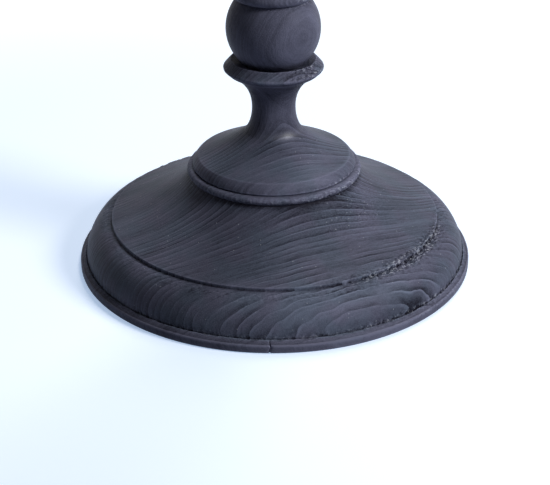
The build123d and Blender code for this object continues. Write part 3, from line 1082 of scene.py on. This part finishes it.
# Finishes. The growth layers of the foot run on into the lower stem, as they seem to in the photograph.
foot_grain = {
    "side": LAYER_SIDE,
    "tilt": radians(2.86),
    "bow": 0.00328,
    "twist": -0.00111,
    "lean": -0.00098,
    "spiral": 0.0,
    "middle_z": 30.0,
}
lower_grain = {**foot_grain, "spiral": 0.0001}
upper_grain = {
    "side": radians(-38),
    "tilt": radians(-4),
    "bow": 0.0035,
    "twist": 0.0008,
    "lean": -0.0006,
    "spiral": 0.0,
    "middle_z": 150.0,
}
dish_grain = {
    "side": radians(-120),
    "tilt": radians(74),
    "bow": 0.0030,
    "twist": 0.0010,
    "lean": -0.0010,
    "spiral": 0.0,
    "middle_z": 232.0,
}
foot_wood = ebonised_wood("foot_wood", foot_grain, start=0.0, sapwood=52)
lower_wood = ebonised_wood("lower_wood", lower_grain, start=0.0, sapwood=52)
upper_wood = ebonised_wood("upper_wood", upper_grain, start=0.3, sapwood=99)
dish_wood = ebonised_wood("dish_wood", dish_grain, start=0.6, sapwood=999)
pan_iron = blackened_iron("pan_iron", 0.6)
plate_iron = blackened_iron("plate_iron", 0.3)
pricket_steel = forged_steel("pricket_steel")
dulled_steel = screw_steel("dulled_steel")


# Pieces
def wooden_piece(
    node,
    outline,
    closed,
    finish,
    wear,
    around,
    edges,
    painted_light_and_shade_patches=(),
    dust=(),
    wax=(),
    extra=(),
    crowd=0.0,
    checks=None,
):
    """One turned piece of wood: its rows carried round the axis, torn at its edges and a little uneven."""
    rows = Rows(outline, wear, closed)
    angle = round_the_axis(around, crowd, extra)
    depth, torn = tear_out(rows, angle, edges)
    depth = depth + uneven(rows, angle)
    if checks:
        depth = depth + checks(rows, angle)
    shown = rows.points(angle, depth)
    marks = {
        "torn": torn,
        "settled": patches(rows, angle, dust),
        # Painted highlights and painted shade in patches, and painted shade in the hollows
        "painted_light_and_shade": patches(rows, angle, painted_light_and_shade_patches),
        "worn": worn_arris(rows, WOOD_ARRIS),
        "hollow": painted_hollow_shade(rows, HOLLOW_SHADE_RADIUS),
        "burnished": burnished(rows),
        "waxed": patches(rows, angle, wax),
    }
    piece = skin(node + "_turning", shown, closed, marks)
    place_piece(piece, node, "stand", finish)


def patches(rows, angle, places):
    """Soft patches, each (radius, height, width, side, spread, strength), added up.

    A patch is its strength times a bell about a ring of the outline and a bell about its side of the axis.
    """
    total = 0 * rows.height * angle
    for radius, height, width, side, spread, strength in places:
        turned = np.angle(np.exp(1j * (angle - side)))
        ring = bell(np.hypot(rows.radius - radius, rows.height - height), width)
        total = total + strength * ring * bell(turned, spread)
    return total


def plinth_check(rows, angle):
    """A drying check across the plinth: a narrow bell round a wavering line, at the outer edge only."""
    aside = (angle - CHECK_SIDE) * foot_radius + CHECK_WAVER * np.sin(2 * rows.height)
    outer = np.clip((rows.radius - quirk_radius) / ledge_width, 0, 1) * (rows.height < ledge_z + 1)
    return CHECK_DEPTH * bell(aside, CHECK_WIDTH) * outer


check_angles = CHECK_SIDE + np.linspace(-0.7, 0.7, 9) / foot_radius
wooden_piece(
    "foot",
    foot_outline(),
    True,
    foot_wood,
    wear=0.2,
    around=500,
    edges=[
        (step_radius + 0.6, step_z - 0.4, 2.7, 0.75, 1.0, 0.0),
        (step_radius + 2.4, ovolo_z, 2.6, 0.4, 0.0, 0.34),
        (quirk_radius, quirk_z + 0.6, 1.4, 0.5, 0.15, 0.42),
        (foot_radius, plinth_height, 0.8, 0.25, 0.5, 0.1),
        (bead_radius + 0.6, bead_z + 1.4, 1.6, 0.2, 0.3, 0.45),
    ],
    extra=check_angles,
    crowd=0.2,
    checks=plinth_check,
    # Painted highlights and painted shade: pale on the front of the ovolo, the plinth's arris and the bead's
    # crest, where the side lamp's highlight falls, and dark by the quirk, on the ovolo's right and at the
    # bead's foot
    painted_light_and_shade_patches=[
        (quirk_radius - 4.0, quirk_z + 7.0, 6.0, radians(-72), 0.45, 1.0),
        (quirk_radius - 0.6, quirk_z + 2.5, 2.6, radians(-57), 0.2, -1.0),
        (foot_radius, plinth_height, 2.0, radians(-60), 0.6, 1.0),
        (quirk_radius - 3.0, quirk_z + 6.0, 6.0, radians(-35), 0.35, -0.4),
        (bead_radius + 0.7, bead_z + 2.1, 0.8, radians(-70), 1.5, 1.0),
        (bead_radius + 0.6, bead_z - 0.2, 0.9, radians(-110), 3.0, -1.3),
    ],
    dust=[(bead_radius + 5.0, bead_z - 5.0, 7.0, TORN_SIDE, 0.5, 1.0)],
)
wooden_piece(
    "lower_stem",
    lower_stem_outline(),
    False,
    lower_wood,
    wear=0.16,
    around=360,
    edges=[
        (disc_radius, platform_z + 0.6, 1.1, 0.3, 0.35, 0.2),
        (collar_radius, collar_edge_z, 2.4, 0.2, 0.4, 0.2),
        (collar_ridge_radius, collar_ridge_z, 1.8, 0.25, 0.4, 0.25),
        (ball_crown_radius, ball_top_z, 1.6, 0.2, 0.5, 0.1),
    ],
    # Painted light and shade: paler patches on the front and left of the disc's cone, a painted highlight at
    # the neck's foot, and the ball's painted shadow on the collar at its left
    painted_light_and_shade_patches=[
        (disc_arris_radius - 4.0, disc_z + 2.0, 9.0, radians(-78), 0.7, 1.0),
        (disc_arris_radius - 8.0, disc_z + 4.0, 9.0, radians(-135), 0.4, 0.4),
        (neck_foot_radius + 0.6, neck_foot_z + 0.4, 2.6, radians(-65), 0.4, 1.0),
        (ball_seat_radius + 2.0, ball_seat_z + 0.6, 2.6, radians(-140), 1.5, -1.2),
    ],
    wax=[(neck_foot_radius - 0.3, neck_foot_z + 0.7, 1.4, radians(-65), 0.7, 1.0)],
    crowd=0.15,
)
wooden_piece(
    "upper_stem",
    upper_stem_outline(),
    False,
    upper_wood,
    wear=0.14,
    around=260,
    edges=[
        (lower_ring_radius, ball_top_z + lower_ring_height / 2, 1.2, 0.2, 0.5, 0.1),
        (upper_collar_radius, upper_collar_edge_z, 2.0, 0.25, 0.8, 0.2),
        (bell_radius, dish_z, 1.2, 0.25, 0.6, 0.1),
    ],
    crowd=0.1,
)
wooden_piece(
    "dish",
    dish_outline(),
    True,
    dish_wood,
    wear=0.16,
    around=420,
    edges=[
        (dish_radius, dish_rim_z, 1.0, 0.3, 0.8, 0.1),
        (dish_step_radius, dish_slope_z, 1.3, 0.4, 0.8, 0.2),
        (dish_radius - dish_rim_round, dish_top_z, 1.2, 0.2, 0.6, 0.0),
    ],
    crowd=0.15,
)

pan_rows = Rows(drip_pan_outline(), 0.08, True)
pan_angle = round_the_axis(300)
pan_points = pan_rows.points(pan_angle, 0)
drip_pan = skin("drip_pan_spinning", pan_points, True, {"worn": worn_arris(pan_rows, PAN_ARRIS)})
place_piece(drip_pan, "drip_pan", "drip_pan", pan_iron)


def pricket_points(rows, angle):
    """The pricket: round from the root up, square along the tang.

    Each row is a rounded square whose reach at an angle is the root, of order n, of the sum of its sine
    and cosine to that order: 2 makes a circle, and the tang's order nears a true square.
    """
    order = np.where(rows.height < pocket_z, 12.0, 2.0)
    reach = (np.abs(np.cos(angle)) ** order + np.abs(np.sin(angle)) ** order) ** (-1 / order)
    return rows.points(angle, 0) * np.stack([reach, reach, np.ones_like(reach)], axis=-1)


pricket_rows = Rows(pricket_outline(), 0.09, False)
pricket_angle = round_the_axis(96)
pricket = skin(
    "pricket_forging",
    pricket_points(pricket_rows, pricket_angle),
    False,
    {"worn": worn_arris(pricket_rows, PRICKET_ARRIS)},
)
place_piece(pricket, "pricket", "stand", pricket_steel)

# Solids that show as they are
for node, finish in {
    "pricket_plate": plate_iron,
    "plate_screws": dulled_steel,
    "foot_screw": dulled_steel,
    "foot_washer": dulled_steel,
}.items():
    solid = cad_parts[node]
    solid.data.materials.clear()
    solid.data.materials.append(finish)


# Floor, light and camera
def plainly_seen(tree):
    """1 where the camera, a shiny surface or glass looks, and 0 where light is on its way to a surface."""
    path = tree.nodes.new("ShaderNodeLightPath")
    seen = path.outputs["Is Camera Ray"]
    for kind in ("Is Glossy Ray", "Is Transmission Ray"):
        either = tree.nodes.new("ShaderNodeMath")
        either.operation = "MAXIMUM"
        tree.links.new(seen, either.inputs[0])
        tree.links.new(path.outputs[kind], either.inputs[1])
        seen = either.outputs[0]
    return seen


def pale_floor():
    """A wide sheet under the stand: grey to the light, white where it is looked at, bluish in the shade.

    From near the stand outwards it becomes plain white, so that it meets the white behind it unseen.
    """
    reach = 4.0
    mesh = bpy.data.meshes.new("floor")
    mesh.from_pydata(
        [(-reach, -reach, 0), (reach, -reach, 0), (reach, reach, 0), (-reach, reach, 0)], [], [(0, 1, 2, 3)]
    )
    floor = bpy.data.objects.new("floor", mesh)
    bpy.context.collection.objects.link(floor)
    finish = Finish("floor_paper", Roughness=0.9, Specular_IOR_Level=0.0, Emission_Strength=1.0)
    seen = Amount(finish, plainly_seen(finish.tree))
    finish.feed("Base Color", finish.mix(seen, (0.40, 0.44, 0.52, 1), (0.8, 0.8, 0.8, 1)))
    far = finish.vector("DISTANCE", finish.millimetres(), (0, 0, 0), "Value")
    glow = finish.mix(finish.step(far, 170.0, 600.0), (0.37, 0.48, 0.65, 1), (1, 1, 1, 1))
    finish.feed("Emission Color", finish.mix(seen, (0, 0, 0, 1), glow))
    mesh.materials.append(finish.material)


def studio_world():
    """White where it is looked at, and nearly dark as a light."""
    world = bpy.data.worlds.new("studio")
    world.use_nodes = True
    tree = world.node_tree
    background = tree.nodes["Background"]
    background.inputs["Color"].default_value = (1, 1, 1, 1)
    level = tree.nodes.new("ShaderNodeMath")
    level.operation = "MAXIMUM"
    level.inputs[1].default_value = 0.02
    tree.links.new(plainly_seen(tree), level.inputs[0])
    tree.links.new(level.outputs[0], background.inputs["Strength"])
    bpy.context.scene.world = world


def soft_lamp(name, place, power):
    """A white round lamp, 0.4 m across, turned towards the lower stem."""
    lamp = bpy.data.lights.new(name, "AREA")
    lamp.shape = "DISK"
    lamp.size = 0.4
    lamp.energy = power
    holder = bpy.data.objects.new(name, lamp)
    holder.location = place
    aim = Vector((0, 0, 0.05)) - Vector(place)
    holder.rotation_euler = aim.to_track_quat("-Z", "Y").to_euler()
    bpy.context.collection.objects.link(holder)


def photograph_camera():
    """A camera where the photograph was taken: its place, downward pitch, slight roll and focal length."""
    image_width = 550
    focal_pixels = 1444.45
    pitch = radians(27.26)
    roll = radians(-0.35)
    lens = bpy.data.cameras.new("photograph_camera")
    lens.sensor_width = 36.0
    lens.lens = focal_pixels / image_width * lens.sensor_width
    lens.clip_start = 0.01
    camera = bpy.data.objects.new("photograph_camera", lens)
    camera.location = (0.00014, -0.466246, 0.244614)
    turn = Matrix.Rotation(pi / 2 - pitch, 4, "X") @ Matrix.Rotation(roll, 4, "Z")
    camera.rotation_euler = turn.to_euler()
    bpy.context.collection.objects.link(camera)
    bpy.context.scene.camera = camera


pale_floor()
studio_world()
soft_lamp("side_window", (0.800, -0.390, 0.647), 9.2)
soft_lamp("back_window", (0.210, 0.578, 0.912), 4.7)
photograph_camera()
bpy.context.scene.view_settings.view_transform = "Standard"
